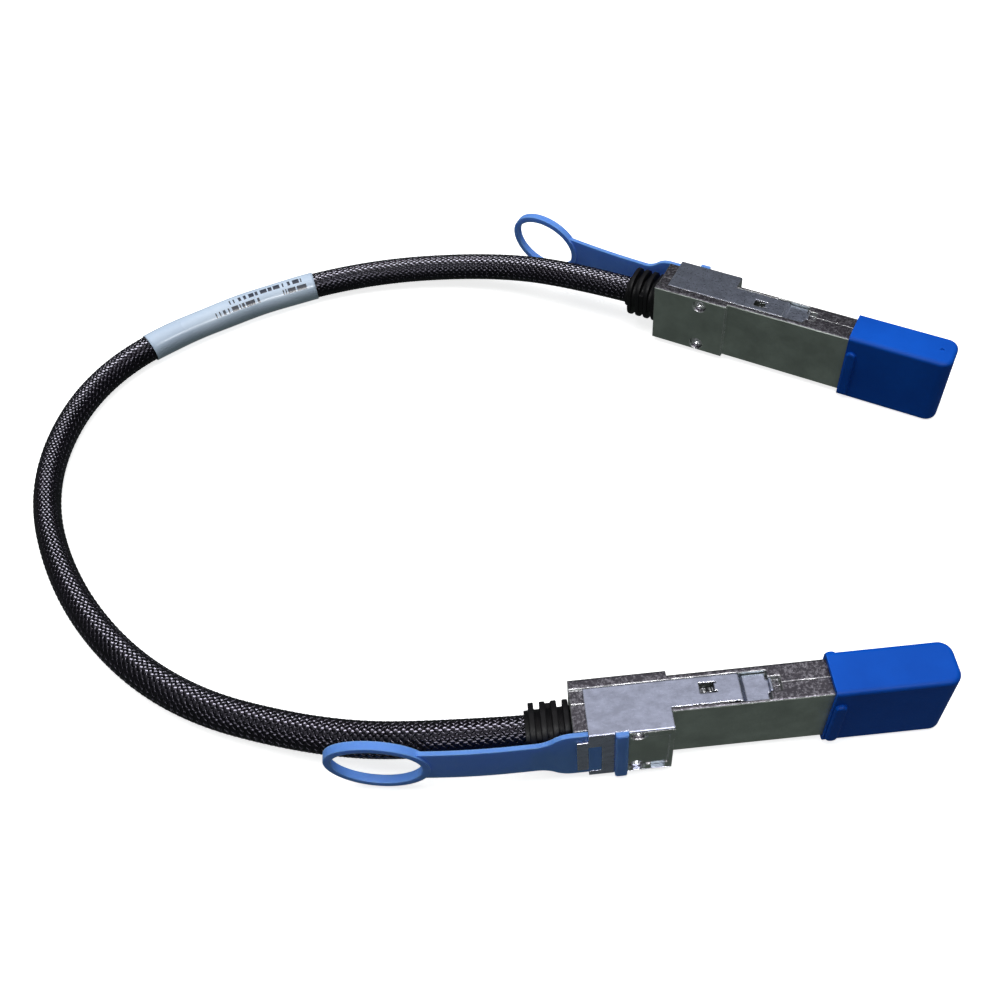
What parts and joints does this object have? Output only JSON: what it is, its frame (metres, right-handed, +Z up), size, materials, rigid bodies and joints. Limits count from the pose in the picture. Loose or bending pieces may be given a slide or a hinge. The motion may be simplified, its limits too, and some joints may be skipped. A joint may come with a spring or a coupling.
{
  "type": "network direct-attach cable",
  "caption": "Short braided network cable with a latching metal plug at each end, each with a pull tab, finger loop, ribbed boot and dust cap.",
  "frame": {"origin": "middle of the two plugs' box, on the surface that the part lies on", "axes": "+Z up, +X along plug b from its cable to its nose, +Y from plug b towards plug a"},
  "size_m": [0.2422, 0.1756, 0.0209],
  "materials": {
    "die_cast_metal": "nickel plated zinc casting, satin",
    "sheet_metal": "bright rolled sheet",
    "rivet_metal": "satin",
    "spring_steel": "bright drawn wire",
    "circuit_board": "solder mask",
    "contact_plating": "gold flash",
    "chip_plastic": "moulded",
    "wire_insulation": "extruded",
    "boot_rubber": "matte moulded",
    "cap_plastic": "soft moulded, low sheen",
    "tab_plastic": "soft moulded, low sheen",
    "cable_braid": "woven monofilament sleeve",
    "label_film": "printed film under a clear wrap"
  },
  "bodies": {
    "cable": {"lower_housing_a": "die_cast_metal", "upper_housing_a": "die_cast_metal", "housing_rivets_a": "rivet_metal", "latch_springs_a": "spring_steel", "paddle_card_a": "circuit_board", "contact_pads_a": "contact_plating", "card_chips_a": "chip_plastic", "wire_leads_a": "wire_insulation", "crimp_ring_a": "rivet_metal", "strain_relief_a": "boot_rubber", "lower_housing_b": "die_cast_metal", "upper_housing_b": "die_cast_metal", "housing_rivets_b": "rivet_metal", "latch_springs_b": "spring_steel", "paddle_card_b": "circuit_board", "contact_pads_b": "contact_plating", "card_chips_b": "chip_plastic", "wire_leads_b": "wire_insulation", "crimp_ring_b": "rivet_metal", "strain_relief_b": "boot_rubber", "cable_sleeve": "cable_braid", "cable_label": "label_film"},
    "latch_a": {"latch_slider_a": "sheet_metal", "pull_tab_a": "tab_plastic"},
    "cap_a": {"dust_cap_a": "cap_plastic"},
    "latch_b": {"latch_slider_b": "sheet_metal", "pull_tab_b": "tab_plastic"},
    "cap_b": {"dust_cap_b": "cap_plastic"}
  },
  "joints": [
    {"name": "latch_slide_a", "type": "slide", "parent": "cable", "child": "latch_a", "axis": [-0.8491, 0.5283, 0], "range_m": [0, 0.0022], "stiffness_N_per_m": 1500, "springref_m": -0.002, "deforming": ["latch_springs_a"]},
    {"name": "dust_cap_slide_a", "type": "slide", "parent": "cable", "child": "cap_a", "axis": [0.8491, -0.5283, 0], "range_m": [0, 0.026]},
    {"name": "latch_slide_b", "type": "slide", "parent": "cable", "child": "latch_b", "axis": [-1, 0, 0], "range_m": [0, 0.0022], "stiffness_N_per_m": 1500, "springref_m": -0.002, "deforming": ["latch_springs_b"]},
    {"name": "dust_cap_slide_b", "type": "slide", "parent": "cable", "child": "cap_b", "axis": [1, 0, 0], "range_m": [0, 0.026]}
  ]
}
